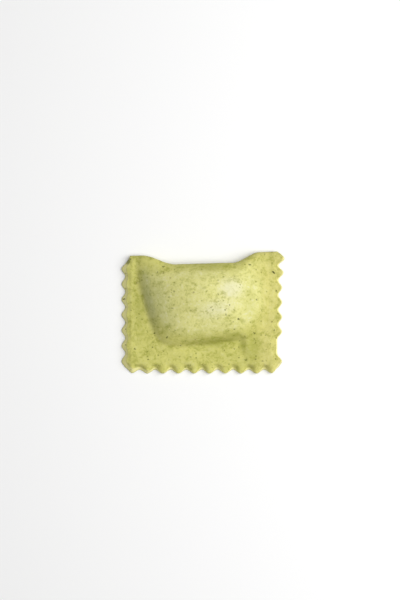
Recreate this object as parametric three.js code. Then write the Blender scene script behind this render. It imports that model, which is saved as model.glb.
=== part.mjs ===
// One raviolo of green egg pasta. A sheet is folded over a lump of filling, pressed flat around it,
// and cut on the other three sides with a fluted wheel, which leaves a row of teeth and pinches the edge.
// Millimetres, +Z up. The fold lies towards +Y, and the flat underside rests on the table at Z = 0.
import * as THREE from "three";
import { mergeGeometries, mergeVertices } from "three/addons/utils/BufferGeometryUtils.js";

const { lerp, smoothstep } = THREE.MathUtils;

// Driving dimensions
const width = 55; // over the teeth, left to right
const depth = 41; // from the front teeth to the right-hand ear of the fold
const height = 11.4; // crest of the filling above the table
const flange = 2.4; // two sheets of pasta pressed together
const toothDepth = 1.35;

// Outline, along the bottoms of the notches between the teeth
const earFlare = 0.95; // the teeth towards the right-hand ear stand out this much further
const flareFrom = 8; // from this far back
const earTuck = 1.4; // and the left-hand ear is tucked in
const tuckFrom = 15;
const earEndFrom = 16.5; // the rolled ends of the fold, which the wheel has not marked
const cornerCut = 0.9; // the front corners fall in a notch
const leftCut = -width / 2 + toothDepth;
const rightCut = width / 2 - toothDepth - earFlare;
const frontCut = -depth / 2 + toothDepth;
const rightEar = depth / 2;
const leftEar = rightEar - 1.5;
const foldSag = 3.3; // the fold is drawn in where the sheet climbs over the filling
const foldDip = { from: -20.7, to: -8.4 }; // it leaves the left-hand ear
const foldRise = { from: 10.1, to: 18.9 }; // and comes back to the right-hand one
const noseReach = 1.25; // depth of the rounded fold, as a share of half its height
const noseHeight = 0.44; // share of the height at which the fold reaches furthest out
const underRound = 0.7; // the bottom sheet rounds into the fold more tightly than the top one
const wornTooth = { y: -11.4, reach: 2.6, depth: 0.85, left: 0.35 }; // one on the right is nearly gone

// Fluted wheel: the place of one tip and the distance to the next, along each cut. In the notches and at the
// tips, the slant is how far the top sheet is cut back behind the bottom one, and the pinch how far it sinks.
const frontTeeth = { tip: -24.05, pitch: 5.24, slant: [0.95, 0.15], pinch: [1.45, 0.25] };
const leftTeeth = { tip: 14.7, pitch: 5.16, slant: [1, 1.9], pinch: [0.45, 0.35], earSlant: 0.35 };
const rightTeeth = { tip: 13.35, pitch: 4.94, slant: [0.5, 0.35], pinch: [1.2, 0.4], earSlant: 1 };
const slantCorner = { from: -22, to: -15 }; // the slant of the left-hand cut goes on round the corner
const toothReach = 2.8; // how far in from the cut the teeth still push the pasta about
const toothFade = 1.6; // how quickly they lose their hold over that distance
const bevel = 2.2; // width of the pinched border inside the notches

// Filling: the valley where the pasta lifts off the flange, how far in from it the crest lies, and the share
// of the height that is climbed in the steep foot
const leftValley = { x: -22.4, taper: 0.3, from: 12, run: 23, foot: 0.17 };
const rightValley = { x: 22, taper: 0.2, from: 0, run: 22.5, foot: 0.12 };
const frontValley = { y: -12, taper: 0.11, from: -12, run: 18.5, foot: 0.29 };
const footPower = 10; // a higher power makes the foot narrower
const squareness = 2.2; // 1 cuts the mound's corners off, more makes them square
const footFillet = 0.06; // share of the height that the foot of the mound is softened by
const taperRound = 3; // how gently a valley turns towards the middle
const backFall = { share: 0.38, from: 8.5, to: 17 }; // height that is lost from the crest to the fold
const unevenness = 0.16; // of the rolled and pressed sheet
const pleat = { top: [14.7, -8], foot: [15.3, -13.8], rise: 0.9, step: [-2.8, 0.5], fall: 1.8, fade: 2.2 };

// Underside
const edgeLift = 0.3; // the cut edges don't quite touch the table
const liftReach = 3.5; // width of the border that rises to them
const earLift = { rise: 0.7, fromX: 17, fromY: 9 }; // the ears are this much higher still

// Grid of points
const cutSteps = [0, 0.5, 1.05, 1.75, 2.6]; // distances of the first rows from a cut edge
const gridStep = 0.95;
const noseSteps = 10; // round the fold, from the top sheet to the bottom one

// 0 below zero and t above it, with a rounded corner.
const softRamp = (t, fillet) => (t + Math.hypot(t, fillet)) / 2;

// Slow rises and dips, about 10 and 20 mm from crest to crest.
function wave(x, y) {
  const broad = Math.sin(0.31 * x + 0.9) * Math.cos(0.27 * y - 0.4);
  return 0.5 * broad + 0.3 * Math.sin(0.62 * y + 0.35 * x);
}

// The fold seen from above: straight over the ears and drawn in between them.
function foldLine(x) {
  const ears = lerp(leftEar, rightEar, (x - leftCut) / (rightCut - leftCut));
  const drawnIn = smoothstep(x, foldDip.from, foldDip.to) * (1 - smoothstep(x, foldRise.from, foldRise.to));
  return ears - foldSag * drawnIn;
}

const worn = (y) => Math.exp(-(((y - wornTooth.y) / wornTooth.reach) ** 2));

// The cuts on the left and the right, before the teeth.
const leftLine = (y) => leftCut + earTuck * smoothstep(y, tuckFrom, leftEar);
const rightLine = (y) => rightCut - wornTooth.depth * worn(y);
const rightToothDepth = (y) =>
  (toothDepth + earFlare * smoothstep(y, flareFrom, leftEar)) * lerp(1, wornTooth.left, worn(y));

// 1 on the ridge of a tooth, 0 in the notches beside it.
function ridge(along, teeth) {
  return 0.5 + 0.5 * Math.cos((2 * Math.PI * (along - teeth.tip)) / teeth.pitch);
}

// How far the wheel moves the pasta outwards at this distance inside a cut.
function toothPush(inside, onRidge, slant, tipOut = toothDepth) {
  return (tipOut * onRidge - slant) * Math.max(0, 1 - inside / toothReach) ** toothFade;
}

// And how far it presses the border down.
function pinch(inside, along, teeth) {
  return lerp(...teeth.pinch, ridge(along, teeth)) * (1 - smoothstep(inside, 0, bevel));
}

// Height of the pasta over the filling, above the flange.
function mound(x, y) {
  const pastLeft = x - leftValley.x - leftValley.taper * softRamp(leftValley.from - y, taperRound);
  const pastRight = rightValley.x - rightValley.taper * softRamp(rightValley.from - y, taperRound) - x;
  const pastFront = y - frontValley.y - frontValley.taper * softRamp(x - frontValley.from, taperRound);
  // 0 at the crest and 1 in the valley.
  function lost(past, valley) {
    const fall = Math.max(0, 1 - past / valley.run);
    return lerp(fall ** 2, fall ** footPower, valley.foot);
  }
  const losses = [lost(pastLeft, leftValley), lost(pastRight, rightValley), lost(pastFront, frontValley)];
  const total = losses.reduce((sum, loss) => sum + loss ** squareness, 0) ** (1 / squareness);
  const share = softRamp(1 - total, footFillet);
  return (height - flange) * share * (1 - backFall.share * smoothstep(y, backFall.from, backFall.to));
}

// A pleat that runs from the corner of the filling towards the front cut: the pasta climbs to its ridge,
// and falls again to the right of it.
function pleatRise(x, y) {
  const top = new THREE.Vector2(...pleat.top);
  const run = new THREE.Vector2(...pleat.foot).sub(top);
  const at = new THREE.Vector2(x, y).sub(top);
  const length = run.length();
  const along = at.dot(run) / length;
  const aside = run.cross(at) / length;
  const begun = smoothstep(along, -pleat.fade, 0);
  const ended = smoothstep(along, length - pleat.fade, length + pleat.fade);
  const profile = smoothstep(aside, ...pleat.step) * Math.exp(-Math.max(0, aside) / pleat.fall);
  return pleat.rise * begun * (1 - ended) * profile;
}

// Both sheets lift off the table a little towards the ears.
function lift(x, y) {
  const outwards = smoothstep(Math.abs(x), earLift.fromX, width / 2);
  return earLift.rise * outwards * smoothstep(y, earLift.fromY, depth / 2);
}

// Distances inside the three cuts, for a share of the width and a distance from the front.
function insideCuts(share, front) {
  const span = rightCut - leftCut;
  return { left: share * span, right: (1 - share) * span, front };
}

function topHeight(x, y, inside) {
  const pinched = Math.max(
    pinch(inside.left, y, leftTeeth),
    pinch(inside.right, y, rightTeeth),
    pinch(inside.front, x, frontTeeth),
  );
  return flange + unevenness * wave(x, y) + mound(x, y) + pleatRise(x, y) + lift(x, y) - pinched;
}

function underHeight(x, y, inside) {
  const nearest = Math.min(inside.left, inside.right, inside.front);
  return edgeLift * (1 - smoothstep(nearest, 0, liftReach)) + lift(x, y);
}

// Where a point of the grid lies in plan. Upper is 1 on the top sheet and 0 on the bottom one.
function place(share, y, inside, upper) {
  const earEnd = smoothstep(y, earEndFrom, leftEar);
  const onLeft = ridge(y, leftTeeth) * (1 - earEnd);
  const onRight = ridge(y, rightTeeth);
  const leftSlant = upper * lerp(lerp(...leftTeeth.slant, onLeft), leftTeeth.earSlant, earEnd);
  const rightSlant = upper * lerp(lerp(...rightTeeth.slant, onRight), rightTeeth.earSlant, earEnd);
  const leftPush = toothPush(inside.left, onLeft, leftSlant);
  const rightPush = toothPush(inside.right, onRight, rightSlant, rightToothDepth(y));
  const x = lerp(leftLine(y), rightLine(y), share) - leftPush + rightPush;

  const onFront = ridge(x, frontTeeth);
  const cornerSlant = lerp(...leftTeeth.slant, onFront);
  const pastCorner = smoothstep(x, slantCorner.from, slantCorner.to);
  const frontSlant = upper * lerp(cornerSlant, lerp(...frontTeeth.slant, onFront), pastCorner);
  return new THREE.Vector3(x, y - toothPush(inside.front, onFront, frontSlant), 0);
}

// One line of points from the front cut, over the filling, round the fold and back along the underside.
function column(share, rowShares) {
  const atFold = insideCuts(share, depth);
  const foldX = lerp(leftLine(leftEar), rightLine(rightEar), share);
  const foldY = foldLine(foldX);
  const foldTop = topHeight(foldX, foldY, atFold);
  const radius = (noseReach * foldTop) / 2;
  const nearSide = Math.min(atFold.left, atFold.right);
  const front = frontCut + cornerCut * (1 - smoothstep(nearSide, 0, toothReach));
  const length = foldY - radius - front;

  function sheetPoint(row, upper) {
    const inside = insideCuts(share, row * length);
    const y = front + inside.front;
    const point = place(share, y, inside, upper);
    point.z = upper ? topHeight(point.x, y, inside) : underHeight(point.x, y, inside);
    return point;
  }

  function nosePoint(turn) {
    const under = turn > Math.PI / 2;
    const back = under ? underRound * radius : radius;
    const point = place(share, foldY - back * (1 - Math.sin(turn)), atFold, (1 + Math.cos(turn)) / 2);
    const low = underHeight(point.x, point.y, atFold);
    const middle = lerp(low, foldTop, noseHeight);
    const reach = under ? middle - low : topHeight(point.x, point.y, atFold) - middle;
    point.z = middle + reach * Math.cos(turn);
    return point;
  }

  const top = rowShares.map((row) => sheetPoint(row, 1));
  const nose = Array.from({ length: noseSteps }, (_, i) => nosePoint((Math.PI * (i + 1)) / noseSteps));
  const under = rowShares.slice(0, -1).map((row) => sheetPoint(row, 0));
  return [...top, ...nose, ...under.reverse()];
}

// Shares from 0 to 1 with close steps at the cut edges and even ones between them.
function stations(span, cutAtBothEnds) {
  const edge = cutSteps.at(-1);
  const inner = span - edge * (cutAtBothEnds ? 2 : 1);
  const count = Math.round(inner / gridStep);
  const even = Array.from({ length: count }, (_, i) => edge + (inner * (i + 1)) / count);
  const far = cutAtBothEnds ? cutSteps.slice(0, -1).reverse().map((step) => span - step) : [];
  return [...cutSteps, ...even, ...far].map((at) => at / span);
}

// A patch through rows of points. It faces the viewer who sees the rows run down and the points run right.
function patch(rows) {
  const geometry = new THREE.PlaneGeometry(1, 1, rows[0].length - 1, rows.length - 1);
  geometry.setFromPoints(rows.flat());
  geometry.deleteAttribute("normal");
  geometry.deleteAttribute("uv");
  return geometry;
}

// Joins patches into one closed surface and drops the triangles that a shared point has flattened.
function close(patches) {
  const joined = mergeVertices(mergeGeometries(patches), 1e-4);
  const kept = [];
  for (let i = 0; i < joined.index.count; i += 3) {
    const corners = [0, 1, 2].map((k) => joined.index.getX(i + k));
    if (new Set(corners).size === 3) kept.push(...corners);
  }
  joined.setIndex(kept);
  return joined;
}

function parcelGeometry() {
  const rowShares = stations(depth - toothDepth - height / 2, false);
  const columns = stations(rightCut - leftCut, true).map((share) => column(share, rowShares));
  const tip = rowShares.length - 1 + noseSteps / 2; // the outermost point of the fold on each line
  const round = columns[0].length - 1;

  // The lines run from the bottom sheet's front cut to the top one's, and the front cut closes them.
  const sheet = [...columns[0].keys(), 0].map((_, j) => columns.map((points) => points.at(round - j)));
  // A side is closed between the top half of its line and the bottom half, which meet at the fold.
  const top = (points) => points.slice(0, tip + 1).reverse();
  const under = (points) => points.slice(tip);
  const left = [top(columns[0]), under(columns[0])];
  const right = [under(columns.at(-1)), top(columns.at(-1))];

  const geometry = close([patch(sheet), patch(left), patch(right)]);
  geometry.computeBoundingBox();
  const box = geometry.boundingBox;
  geometry.translate(-(box.min.x + box.max.x) / 2, -(box.min.y + box.max.y) / 2, -box.min.z);
  geometry.computeVertexNormals();
  return geometry;
}

const pasta = new THREE.MeshStandardMaterial({ color: 0xcbc974, roughness: 0.6, metalness: 0 });
const parcel = new THREE.Mesh(parcelGeometry(), pasta);
parcel.name = "ravioli";

const raviolo = new THREE.Group();
raviolo.add(parcel);

export default raviolo;
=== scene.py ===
# Green raviolo, one folded and fluted pasta parcel on a white table, seen from straight above
import math

import bmesh
import bpy
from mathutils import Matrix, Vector, noise


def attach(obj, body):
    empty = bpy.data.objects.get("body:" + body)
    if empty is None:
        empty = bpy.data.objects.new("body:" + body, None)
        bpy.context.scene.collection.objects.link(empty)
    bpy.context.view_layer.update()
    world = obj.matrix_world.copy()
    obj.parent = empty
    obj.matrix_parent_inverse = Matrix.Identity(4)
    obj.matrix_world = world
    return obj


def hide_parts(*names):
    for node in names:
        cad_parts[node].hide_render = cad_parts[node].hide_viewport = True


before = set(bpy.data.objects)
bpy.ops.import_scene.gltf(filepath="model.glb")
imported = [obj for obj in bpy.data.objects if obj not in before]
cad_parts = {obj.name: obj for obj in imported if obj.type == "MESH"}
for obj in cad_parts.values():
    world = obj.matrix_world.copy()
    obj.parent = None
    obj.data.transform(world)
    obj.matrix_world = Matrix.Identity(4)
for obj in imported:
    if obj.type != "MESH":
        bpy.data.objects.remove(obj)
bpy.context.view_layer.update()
mm = 0.001


class Wire:  # a node socket that takes part in Python maths
    def __init__(self, tree, socket=None):
        self.tree = tree
        self.socket = socket

    def add(self, kind, settings, inputs, out=0):
        node = self.tree.nodes.new(kind)
        for name, value in settings.items():
            setattr(node, name, value)
        for name, value in inputs.items():
            if isinstance(value, Wire):
                self.tree.links.new(value.socket, node.inputs[name])
            else:
                node.inputs[name].default_value = value
        return Wire(self.tree, node.outputs[out])

    def math(self, operation, first, second):
        return self.add("ShaderNodeMath", {"operation": operation}, {0: first, 1: second})

    def mix(self, factor, first, second):
        colours = [c if isinstance(c, Wire) else (*c, 1) for c in (first, second)]
        inputs = {0: factor, 6: colours[0], 7: colours[1]}  # 6 and 7 are its colour sockets
        return self.add("ShaderNodeMix", {"data_type": "RGBA"}, inputs, out=2)

    def between(self, low, high):  # 0 at low, 1 at high, eased
        inputs = {"Value": self, "From Min": low, "From Max": high}
        return self.add("ShaderNodeMapRange", {"interpolation_type": "SMOOTHSTEP"}, inputs)

    def __add__(self, other):
        return self.math("ADD", self, other)

    def __radd__(self, other):
        return self.math("ADD", other, self)

    def __sub__(self, other):
        return self.math("SUBTRACT", self, other)

    def __rsub__(self, other):
        return self.math("SUBTRACT", other, self)

    def __mul__(self, other):
        return self.math("MULTIPLY", self, other)

    def __rmul__(self, other):
        return self.math("MULTIPLY", other, self)


def newMaterial(name):
    material = bpy.data.materials.new(name)
    material.use_nodes = True
    tree = material.node_tree
    return material, Wire(tree), tree.nodes["Principled BSDF"]


def link(wire, shader, socketName):
    wire.tree.links.new(wire.socket, shader.inputs[socketName])


# Dough finish

dough = {
    "sheet": (0.568, 0.548, 0.160),  # where it lies flat
    "sheetRight": (0.572, 0.534, 0.172),  # and on the right, which has more yolk
    "rightRange": (12, 22),  # mm from the middle, between which that comes in
    "overFilling": (0.655, 0.632, 0.240),  # stretched thin over the filling, so paler
    "leafGreenAndShade": (0.255, 0.270, 0.026),  # ground leaf, and painted shade where the green patches lay it on
    "thinSheet": (0.635, 0.608, 0.290),  # thin spots, first where it lies flat
    # also the colour of the painted highlight
    "thinOverFillingAndHighlight": (0.750, 0.730, 0.590),
    "filling": (0.430, 0.445, 0.222),  # grey-green, painted shade on the left slope
    "cutCream": (0.820, 0.772, 0.350),  # inside of the sheet, where the wheel cut it
    "cutRange": (0.3, 0.9),  # marks on the points, between which that comes in
    "cutStrength": 0.85,
    "fleckDark": (0.040, 0.050, 0.004),
    "fleckGreen": (0.150, 0.170, 0.016),
    "fleckBrown": (0.170, 0.110, 0.038),
    "flecks": [  # how many to a mm, radius in mm, share that shows, strength, colour, random draw
        (0.55, 0.36, 0.16, 0.60, "fleckGreen", "Red"),
        (0.20, 0.40, 0.12, 0.62, "fleckDark", "Green"),
        (0.26, 0.36, 0.08, 0.50, "fleckBrown", "Blue"),
    ],
    "fleckCore": 0.35,  # share of the radius that is darkest
    "fleckFade": 0.05,  # share of them that show weakly
    "roughness": 0.56,
    "roughStreaks": 0.16,  # added to it by the streaks
    "specular": 0.16,
    "subsurface": {"Weight": 0.12, "Radius": (1.0, 0.9, 0.35), "Scale": 0.8 * mm},
    "bump": {"Strength": 0.4, "Distance": 0.12 * mm},
    "grainRelief": 0.6,  # shares of the bump
    "streakRelief": 0.4,
}

# ground leaf in the dough: clouds, short streaks along the nearest edge, and grain
mottle = {
    "clouds": (0.30, 4.0, 0.60, 0.8),  # how many to a mm, detail, roughness, distortion
    "streaks": (0.50, 4.0, 0.62, 0.7),
    "grain": (1.5, 3.0, 0.6, 0.4),
    "streakLength": 1.45,  # times their width
    "sideRange": (16, 21),  # mm from the middle, between which they turn to run front to back
    "turnOverFilling": 0.5,  # how far they turn over the filling
    "cloudTone": 0.22,  # shares of the tone, which is low where there is much leaf
    "streakTone": 0.44,
    "grainTone": 0.34,
    "cloudRange": (0.36, 0.58),  # from a leafy cloud to a clear one
    "cloudPulp": 0.20,
    "cloudPulpLost": 0.11,  # taken off that over the filling
    "leafRange": (0.38, 0.51),  # tones from leafy to clear
    "leafPulp": 0.54,
    "thinRange": (0.50, 0.66),  # tones from clear to thin
    "thinStrength": 0.45,
    "patchTone": 1.5,  # a green patch, of leaf or of painted shade, counts by this less the tone
}

# how the listed marks end: soft edges as shares of their half size, ragged by a wobble
markEdges = {
    "leafEdge": (0.45, 1.15),
    "patchEdge": (0.1, 1.15),
    "leafHeights": (0.5, 0.9),  # mm above the table, between which bits of leaf come in
    "patchHeight": 0.6,  # mm above the table, where the patches start
    "wobblesPerMm": 1.9,
    "wobbleDetail": 3.0,
    "wobbleReach": 0.9,  # mm from one side to the other
}

# larger bits of leaf: x, y, length and width in mm, turn in degrees, how dark
leafBits = [
    (23.5, 13.5, 1.5, 0.75, -38, 0.95), (-26.7, 4.5, 1.5, 0.5, 10, 0.8), (24.5, 7.3, 0.9, 0.5, 60, 0.7),
    (15.6, 16.0, 1.2, 0.6, -10, 0.75), (8.8, 2.6, 0.7, 0.45, 70, 0.8), (7.2, 0.9, 0.8, 0.5, 60, 0.7),
    (11.7, -2.1, 0.8, 0.7, 0, 0.85), (9.9, -3.1, 0.7, 0.5, 20, 0.6), (5.0, 6.2, 0.7, 0.5, -30, 0.7),
    (-13.3, 15.4, 1.1, 0.6, 20, 0.65), (2.5, 1.8, 0.6, 0.5, 0, 0.6), (-17.0, -11.6, 0.6, 0.5, 30, 0.75),
    (-22.9, -12.2, 0.8, 0.6, 0, 0.7), (11.9, -11.6, 0.6, 0.5, 0, 0.75), (14.3, -15.9, 1.0, 0.7, 0, 0.7),
    (-16.4, -6.8, 0.8, 0.6, 20, 0.75), (-12.1, -8.2, 0.9, 0.55, 30, 0.8), (20.6, 19.6, 0.6, 0.4, 60, 0.6),
    (17.1, -6.9, 0.8, 0.7, 0, 0.7), (-7.6, -11.0, 0.8, 0.5, 30, 0.6), (24.6, -8.5, 0.8, 0.5, 70, 0.6),
    (17.1, -8.9, 0.6, 0.5, 20, 0.5), (17.5, -10.2, 0.6, 0.4, 50, 0.5), (20.9, -7.6, 0.5, 0.4, 0, 0.5),
    (23.8, -5.9, 0.8, 0.5, 60, 0.6), (22.5, -10.4, 0.7, 0.4, 80, 0.5), (21.6, -6.3, 0.5, 0.4, 0, 0.4),
    (8.7, -10.6, 0.7, 0.4, 30, 0.5), (10.4, -12.1, 0.8, 0.5, 0, 0.5), (7.1, -12.6, 0.7, 0.5, 40, 0.5),
    (11.9, -15.1, 0.7, 0.5, 0, 0.5), (17.5, -15.6, 0.6, 0.5, 30, 0.5), (19.9, -16.2, 0.8, 0.5, 0, 0.5),
    (-20.2, 13.8, 0.6, 0.4, 0, 0.6), (-15.2, 13.6, 0.7, 0.4, 20, 0.6), (-10.6, 6.8, 0.5, 0.5, 0, 0.5),
    (-10.3, 1.5, 0.8, 0.4, 0, 0.5), (-15.2, 2.4, 0.6, 0.4, 60, 0.4), (-21.5, -0.5, 0.5, 0.4, 0, 0.5),
    (-25.3, 17.1, 1.4, 2.2, 0, 0.34), (-24.6, 17.9, 1.2, 0.6, 40, 0.3),
]

# where more leaf lies together, with painted shade in the creases and on slopes turned from the light;
# painted shade down the left slope; and a painted highlight on the mound: x, y, length and width in mm,
# turn in degrees, how strong
patchLists = {
    # the long ones along the front crease, at the fold, down the left flange, at the pleat and on the
    # right slope are painted shade; the small ones are leaf
    "leafAndShadePatches": [
        (-22.7, 10.1, 2.4, 1.9, 0, 0.65), (-25.2, 17.2, 2.4, 2.8, 0, 0.75),
        (12.9, -2.6, 3.6, 2.0, -20, 0.50), (13.2, -10.8, 4.4, 7.0, 8, 0.55),
        (3.0, 15.4, 15.0, 4.6, 0, 0.40), (-21.0, 13.6, 2.8, 2.4, 0, 0.50),
        (17.0, -7.0, 3.6, 2.6, 20, 0.45), (-3.0, 9.6, 3.4, 1.2, -25, 0.45),
        (0.5, 8.3, 2.6, 0.9, 10, 0.40), (5.0, -9.8, 24.0, 5.6, 3, 0.46), (6.0, -9.4, 15.0, 1.7, 4, 0.62),
        (-21.6, 0.0, 4.4, 24.0, 4, 0.34), (-20.2, 1.0, 1.4, 3.2, 20, 0.55),
        (-22.7, -5.7, 2.2, 1.6, 0, 0.45), (-20.2, -6.2, 2.6, 1.6, 30, 0.45),
        (-14.7, 9.8, 2.4, 2.0, 20, 0.45), (-11.8, -4.5, 3.4, 1.8, 20, 0.45),
        (20.0, -13.0, 3.0, 1.6, 0, 0.40), (9.0, -14.2, 3.6, 1.4, 0, 0.45),
        (1.0, -12.6, 4.0, 1.4, 0, 0.40), (23.6, -6.2, 1.8, 3.2, 0, 0.45), (-23.1, 7.3, 2.2, 1.3, 0, 0.50),
        (16.6, -11.8, 7.5, 16.0, 0, 0.52), (10.0, -7.4, 8.0, 2.6, 4, 0.45),
        (14.4, -15.8, 2.6, 3.0, 0, 0.50), (15.8, 3.5, 5.5, 17.0, 0, 0.17),
    ],
    # painted shade: greyer, darker ovals down the left slope, which faces away from the light
    "paintedShadePatches": [
        (-17.9, 3.6, 5.4, 25.0, 14, 0.62), (-19.2, 11.5, 4.6, 9.0, 10, 0.45),
        (-14.2, 3.0, 10.0, 24.0, 14, 0.30),
    ],
    # painted highlight: pale ovals at the top right of the mound, where the light catches it
    "paintedHighlightPatches": [
        (9.4, 8.0, 11.0, 9.0, 0, 0.46), (4.5, 1.5, 17.0, 8.0, 15, 0.32),
    ],
}


def flecks(wire, place, perMm, radius, share, draw):
    # scattered irregular specks, one in every cell that the share lets through
    cell = {"feature": "F1", "distance": "EUCLIDEAN", "voronoi_dimensions": "2D"}
    inputs = {"Vector": place, "Scale": perMm, "Randomness": 1.0}
    near = wire.add("ShaderNodeTexVoronoi", cell, inputs, out="Distance")
    tint = wire.add("ShaderNodeTexVoronoi", cell, inputs, out="Color")
    pick = wire.add("ShaderNodeSeparateColor", {}, {"Color": tint}, out=draw)
    chosen = pick.between(1 - share, 1 - share + dough["fleckFade"])
    size = radius * perMm
    return chosen * (1 - near.between(size * dough["fleckCore"], size))


def placedMarks(wire, place, marks):
    # the strongest of several soft ovals, each a tall column so that height doesn't count
    columnHeight = 1000
    total = None
    for x, y, length, width, turn, strength in marks:
        values = {"Vector": place, "Location": (x, y, 0), "Rotation": (0, 0, math.radians(turn))}
        values["Scale"] = (length / 2, width / 2, columnHeight)
        oval = wire.add("ShaderNodeMapping", {"vector_type": "TEXTURE"}, values)
        away = wire.add("ShaderNodeVectorMath", {"operation": "LENGTH"}, {0: oval}, out="Value")
        mark = strength * (1 - away.between(*markEdges["leafEdge"]))
        total = mark if total is None else wire.math("MAXIMUM", total, mark)
    return total


def pastaFinish():
    material, wire, shader = newMaterial("greenPasta")

    def vectorMath(operation, inputs):
        return wire.add("ShaderNodeVectorMath", {"operation": operation}, inputs)

    objectSpot = wire.add("ShaderNodeTexCoord", {}, {}, out="Object")
    spot = vectorMath("SCALE", {0: objectSpot, "Scale": 1 / mm})  # in mm
    height = wire.add("ShaderNodeSeparateXYZ", {}, {0: spot}, out="Z")
    across = wire.add("ShaderNodeSeparateXYZ", {}, {0: spot}, out="X")

    def cloudy(settings, place=spot):
        values = dict(zip(("Scale", "Detail", "Roughness", "Distortion"), settings))
        values["Vector"] = place
        return wire.add("ShaderNodeTexNoise", {"noise_dimensions": "3D"}, values)

    def attribute(name):
        return wire.add("ShaderNodeAttribute", {"attribute_name": name}, {}, out="Fac")

    # ragged edges for specks and bits of leaf
    reach = markEdges["wobbleReach"]
    warpInputs = {"Vector": spot, "Scale": markEdges["wobblesPerMm"], "Detail": markEdges["wobbleDetail"]}
    warp = wire.add("ShaderNodeTexNoise", {}, warpInputs, out="Color")
    wobble = vectorMath("SCALE", {0: warp, "Scale": reach})
    ragged = vectorMath("ADD", {0: spot, 1: wobble})
    centred = vectorMath("SUBTRACT", {0: ragged, 1: (reach / 2, reach / 2, reach / 2)})
    topSide = height.between(*markEdges["leafHeights"])

    # paler over the filling, with painted shade down the left slope and a painted highlight at the top
    # right of the mound
    over = attribute("overFilling")
    flat = wire.mix(across.between(*dough["rightRange"]), dough["sheet"], dough["sheetRight"])
    colour = wire.mix(over, flat, dough["overFilling"])
    # painted shade on the left slope
    colour = wire.mix(attribute("paintedShadePatches"), colour, dough["filling"])
    # painted highlight at the top right of the mound
    colour = wire.mix(attribute("paintedHighlightPatches"), colour, dough["thinOverFillingAndHighlight"])

    # ground leaf and thin spots
    clouds = cloudy(mottle["clouds"])
    grain = cloudy(mottle["grain"])
    drawn = 1 / mottle["streakLength"]
    alongFront = wire.add("ShaderNodeMapping", {}, {"Vector": spot, "Scale": (drawn, 1, 1)})
    alongSides = wire.add("ShaderNodeMapping", {}, {"Vector": spot, "Scale": (1, drawn, 1)})
    fromMiddle = wire.math("ABSOLUTE", across, 0).between(*mottle["sideRange"])
    beside = wire.math("MAXIMUM", fromMiddle, mottle["turnOverFilling"] * over)
    frontStreaks = cloudy(mottle["streaks"], alongFront)
    sideStreaks = cloudy(mottle["streaks"], alongSides)
    streaks = (1 - beside) * frontStreaks + beside * sideStreaks
    tone = mottle["cloudTone"] * clouds + mottle["streakTone"] * streaks + mottle["grainTone"] * grain
    cloudPulp = mottle["cloudPulp"] - mottle["cloudPulpLost"] * over
    colour = wire.mix((1 - clouds.between(*mottle["cloudRange"])) * cloudPulp, colour, dough["leafGreenAndShade"])
    leafy = 1 - tone.between(*mottle["leafRange"])
    colour = wire.mix(leafy * mottle["leafPulp"], colour, dough["leafGreenAndShade"])
    thin = wire.mix(over, dough["thinSheet"], dough["thinOverFillingAndHighlight"])
    colour = wire.mix(tone.between(*mottle["thinRange"]) * mottle["thinStrength"], colour, thin)

    # cut faces
    cut = attribute("cutFace").between(*dough["cutRange"])
    colour = wire.mix(cut * dough["cutStrength"], colour, dough["cutCream"])

    # green patches of leaf and of painted shade, specks and bits of leaf
    colour = wire.mix(attribute("leafAndShadePatches") * (mottle["patchTone"] - tone), colour, dough["leafGreenAndShade"])
    for perMm, radius, share, strength, tint, draw in dough["flecks"]:
        specks = flecks(wire, ragged, perMm, radius, share, draw)
        colour = wire.mix(specks * strength, colour, dough[tint])
    colour = wire.mix(placedMarks(wire, centred, leafBits) * topSide, colour, dough["fleckDark"])
    link(colour, shader, "Base Color")

    # semi-matte, with a little light going in
    link(dough["roughness"] + dough["roughStreaks"] * streaks, shader, "Roughness")
    shader.inputs["Specular IOR Level"].default_value = dough["specular"]
    for name, value in dough["subsurface"].items():
        shader.inputs["Subsurface " + name].default_value = value

    relief = dough["grainRelief"] * grain + dough["streakRelief"] * streaks
    link(wire.add("ShaderNodeBump", {}, {**dough["bump"], "Height": relief}), shader, "Normal")
    return material


# The parcel

parcel = {
    "node": "ravioli",
    "mergeWithin": 0.01 * mm,
    "quadBend": math.radians(70),  # the most that the two triangles of a quad may bend or skew
    "underTilt": -0.7,  # faces that look down more than this are the underside
    "foldTilt": 0.6,  # and those that look back more than this are the fold
    "cutFront": -16 * mm,  # the cuts lie beyond these lines
    "cutLeft": -22.5 * mm,
    "cutRight": 23 * mm,
    "rimMark": 0.45,  # how far a cut's rims count as cut, against 1 between them
    "seamCuts": 3,  # the groove between the two sheets and its two lips
    "seamDepth": 0.26 * mm,  # of the groove, where a cut stands upright
    "seamLip": 0.55,  # how far its lips stand from it, as a share of the first cuts
    "uprightRange": (0.3, 0.9),  # from a lying cut to a standing one
    "rimCrease": 0.5,
    "subdivisions": 2,
    "keptForm": 0.9,
    "lumps": {"size": 3.2 * mm, "height": 0.16 * mm, "depth": 2},
    "ripples": {"size": 1.1 * mm, "height": 0.05 * mm, "depth": 3},
    "paleFrom": 3.2 * mm,  # heights between which the sheet pales over the filling
    "paleTo": 6.4 * mm,
    "paleTilt": 4.0 * mm,  # and how much later it does so where it tilts to the front or the fold
}


def only(piece):
    bpy.ops.object.select_all(action="DESELECT")
    piece.select_set(True)
    bpy.context.view_layer.objects.active = piece


def eased(value, low, high):
    share = max(0.0, min(1.0, (value - low) / (high - low)))
    return share * share * (3 - 2 * share)


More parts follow.
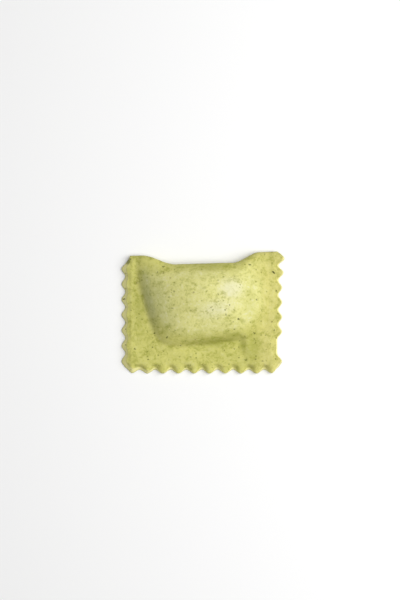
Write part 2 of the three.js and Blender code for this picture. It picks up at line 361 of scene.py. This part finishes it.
def cutWalls(mesh):
    # the faces that stand on the rim of the underside, along the three cuts, and the points of that rim
    under = {f for f in mesh.faces if f.normal.z < parcel["underTilt"]}

    def besideCut(face):
        middle = face.calc_center_median()
        beyondSides = middle.x < parcel["cutLeft"] or middle.x > parcel["cutRight"]
        return beyondSides or middle.y < parcel["cutFront"]

    walls = []
    for face in mesh.faces:
        onRim = any(other in under for edge in face.edges for other in edge.link_faces)
        if onRim and face not in under and besideCut(face) and face.normal.y < parcel["foldTilt"]:
            walls.append(face)
    return walls, {v for f in under for v in f.verts}


def applyModifier(piece, kind, name, **settings):
    modifier = piece.modifiers.new(name, kind)
    for key, value in settings.items():
        setattr(modifier, key, value)
    bpy.ops.object.modifier_apply(modifier=name)


def cloudTexture(name, size, depth):
    texture = bpy.data.textures.new(name, "CLOUDS")
    texture.noise_scale = size
    texture.noise_depth = depth
    texture.noise_basis = "ORIGINAL_PERLIN"
    return texture


def markAttribute(mesh, name, value):
    attribute = mesh.attributes.new(name, "FLOAT", "POINT")
    attribute.data.foreach_set("value", [value(v) for v in mesh.vertices])


def markPatches(mesh, name, patches):
    # the strongest of several soft ovals with ragged edges, on the top side alone
    turned = []
    for x, y, long, wide, turn, strength in patches:
        angle = math.radians(turn)
        turned.append((x, y, 2 / long, 2 / wide, math.cos(angle), math.sin(angle), strength))
    core, edge = markEdges["patchEdge"]
    wobble = markEdges["wobbleReach"] / 2

    def strongest(vert):
        spot = vert.co / mm
        strong = 0.0
        if spot.z > markEdges["patchHeight"]:
            spot += wobble * noise.noise_vector(markEdges["wobblesPerMm"] * spot)
            for x, y, perLength, perWidth, cosine, sine, strength in turned:
                right, up = spot.x - x, spot.y - y
                along, aside = right * cosine + up * sine, up * cosine - right * sine
                away = math.hypot(along * perLength, aside * perWidth)
                if away < edge:
                    strong = max(strong, strength * (1 - eased(away, core, edge)))
        return strong

    markAttribute(mesh, name, strongest)


def drawSeam(piece):
    # split the cut walls in height and draw the line between the two sheets in
    bpy.ops.object.mode_set(mode="EDIT")
    bpy.ops.mesh.select_mode(type="EDGE")
    bpy.ops.mesh.select_all(action="DESELECT")
    mesh = bmesh.from_edit_mesh(piece.data)
    crease = mesh.edges.layers.float.new("crease_edge")
    wallMark = mesh.verts.layers.float.new("cutFace")
    walls, underRim = cutWalls(mesh)
    for face in walls:
        for vert in face.verts:
            vert[wallMark] = parcel["rimMark"]
        for edge in face.edges:
            standing = len(underRim.intersection(edge.verts)) == 1
            edge.select_set(edge.select or standing)
            if not standing:
                edge[crease] = parcel["rimCrease"]
    print("cut walls", len(walls), "uprights", sum(e.select for e in mesh.edges))
    before = len(mesh.verts)
    bpy.ops.mesh.subdivide(number_cuts=parcel["seamCuts"])
    bpy.ops.mesh.select_mode(type="VERT")
    bpy.ops.mesh.select_all(action="DESELECT")
    mesh = bmesh.from_edit_mesh(piece.data)
    wallMark = mesh.verts.layers.float["cutFace"]
    mesh.verts.ensure_lookup_table()
    added = set(mesh.verts[before:])
    lips = {v for v in added if any(e.other_vert(v) not in added for e in v.link_edges)}
    for vert in added:
        vert[wallMark] = 1.0
    for vert in added - lips:
        for lip in lips.intersection(e.other_vert(vert) for e in vert.link_edges):
            lip.co = vert.co.lerp(lip.co, parcel["seamLip"])
        upright = eased(1 - abs(vert.normal.z), *parcel["uprightRange"])
        vert.co -= vert.normal * parcel["seamDepth"] * upright
    bmesh.update_edit_mesh(piece.data)
    print("seam points", len(added - lips))
    bpy.ops.object.mode_set(mode="OBJECT")


def keepForm(piece, levels):
    # moves the points out beforehand by what the smoothing will take off, so that the teeth stay sharp
    trial = piece.copy()
    trial.data = piece.data.copy()
    bpy.context.scene.collection.objects.link(trial)
    only(trial)
    applyModifier(trial, "SUBSURF", "soften", levels=levels, render_levels=levels)
    for vert, softened in zip(piece.data.vertices, trial.data.vertices):
        vert.co += parcel["keptForm"] * (vert.co - softened.co)
    bpy.data.objects.remove(trial)
    only(piece)


def buildParcel():
    piece = bpy.data.objects.new("pastaParcel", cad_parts[parcel["node"]].data.copy())
    bpy.context.scene.collection.objects.link(piece)
    only(piece)
    bpy.ops.mesh.customdata_custom_splitnormals_clear()

    # one quad skin out of the loose triangles
    bpy.ops.object.mode_set(mode="EDIT")
    bpy.ops.mesh.select_all(action="SELECT")
    bpy.ops.mesh.remove_doubles(threshold=parcel["mergeWithin"])
    bend = parcel["quadBend"]
    bpy.ops.mesh.tris_convert_to_quads(face_threshold=bend, shape_threshold=bend)
    bpy.ops.object.mode_set(mode="OBJECT")  # closes up the point list, so that new points come last
    drawSeam(piece)
    print("parcel quads", len(piece.data.polygons))

    def paleShare(vert):
        risen = vert.co.z - abs(vert.normal.y) * parcel["paleTilt"]
        return eased(risen, parcel["paleFrom"], parcel["paleTo"])

    markAttribute(piece.data, "overFilling", paleShare)

    levels = parcel["subdivisions"]
    keepForm(piece, levels)
    applyModifier(piece, "SUBSURF", "soften", levels=levels, render_levels=levels)
    for name in ("lumps", "ripples"):
        relief = parcel[name]
        texture = cloudTexture(name, relief["size"], relief["depth"])
        applyModifier(piece, "DISPLACE", name, texture=texture, texture_coords="LOCAL",
                      strength=relief["height"], mid_level=0.5)
    for vert in piece.data.vertices:
        vert.co.z = max(vert.co.z, 0)  # it lies on the table
    bpy.ops.object.shade_smooth()
    for name, patches in patchLists.items():
        markPatches(piece.data, name, patches)
    piece.data.materials.clear()
    piece.data.materials.append(pastaFinish())
    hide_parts(parcel["node"])
    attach(piece, "root")
    print("parcel faces", len(piece.data.polygons))


# Table, light and camera

studio = {
    "tableSize": 3.0,
    "tableWhite": (0.88, 0.88, 0.88),
    "tableRoughness": 0.9,
    "tableSpecular": 0.1,
    "skyStrength": 0.23,
    "skyColour": (1.0, 1.0, 0.99),
    "lights": {  # azimuth from the right towards the fold, elevation, distance, size, power
        "keyLight": (6, 50, 0.5, 0.50, 2.36),
        "topLight": (0, 90, 1.2, 1.0, 5.1),
    },
    "photoCentre": (-1.09 * mm, 4.24 * mm, 2.0 * mm),  # what lies in the middle of the frame
    "frameHeight": 201.2 * mm,  # table shown from the top of the frame to its bottom
    "cameraHeight": 0.75,
    "sensor": 36.0,
    "clipEnd": 10,
}


def buildStudio():
    bpy.ops.object.select_all(action="DESELECT")
    bpy.ops.mesh.primitive_plane_add(size=studio["tableSize"], location=(0, 0, 0))
    table = bpy.context.active_object
    table.name = "table"
    material, _, shader = newMaterial("tableWhite")
    shader.inputs["Base Color"].default_value = (*studio["tableWhite"], 1)
    shader.inputs["Roughness"].default_value = studio["tableRoughness"]
    shader.inputs["Specular IOR Level"].default_value = studio["tableSpecular"]
    table.data.materials.append(material)

    scene = bpy.context.scene
    scene.world = bpy.data.worlds.new("paleRoom")
    scene.world.use_nodes = True
    sky = scene.world.node_tree.nodes["Background"]
    sky.inputs["Color"].default_value = (*studio["skyColour"], 1)
    sky.inputs["Strength"].default_value = studio["skyStrength"]

    for name, (azimuth, elevation, distance, size, power) in studio["lights"].items():
        around, up = math.radians(azimuth), math.radians(elevation)
        towards = Vector((math.cos(up) * math.cos(around), math.cos(up) * math.sin(around), math.sin(up)))
        bpy.ops.object.light_add(type="AREA", location=distance * towards)
        lamp = bpy.context.active_object
        lamp.name = name
        lamp.data.shape = "DISK"
        lamp.data.size = size
        lamp.data.energy = power
        lamp.rotation_euler = (-towards).to_track_quat("-Z", "Y").to_euler()

    centre = Vector(studio["photoCentre"])
    bpy.ops.object.camera_add(location=centre + Vector((0, 0, studio["cameraHeight"])), rotation=(0, 0, 0))
    camera = bpy.context.active_object
    camera.data.sensor_fit = "VERTICAL"
    camera.data.sensor_height = studio["sensor"]
    camera.data.lens = studio["sensor"] * studio["cameraHeight"] / studio["frameHeight"]
    camera.data.clip_end = studio["clipEnd"]
    scene.camera = camera
    scene.view_settings.view_transform = "Standard"
    print("studio ready")


buildStudio()
buildParcel()
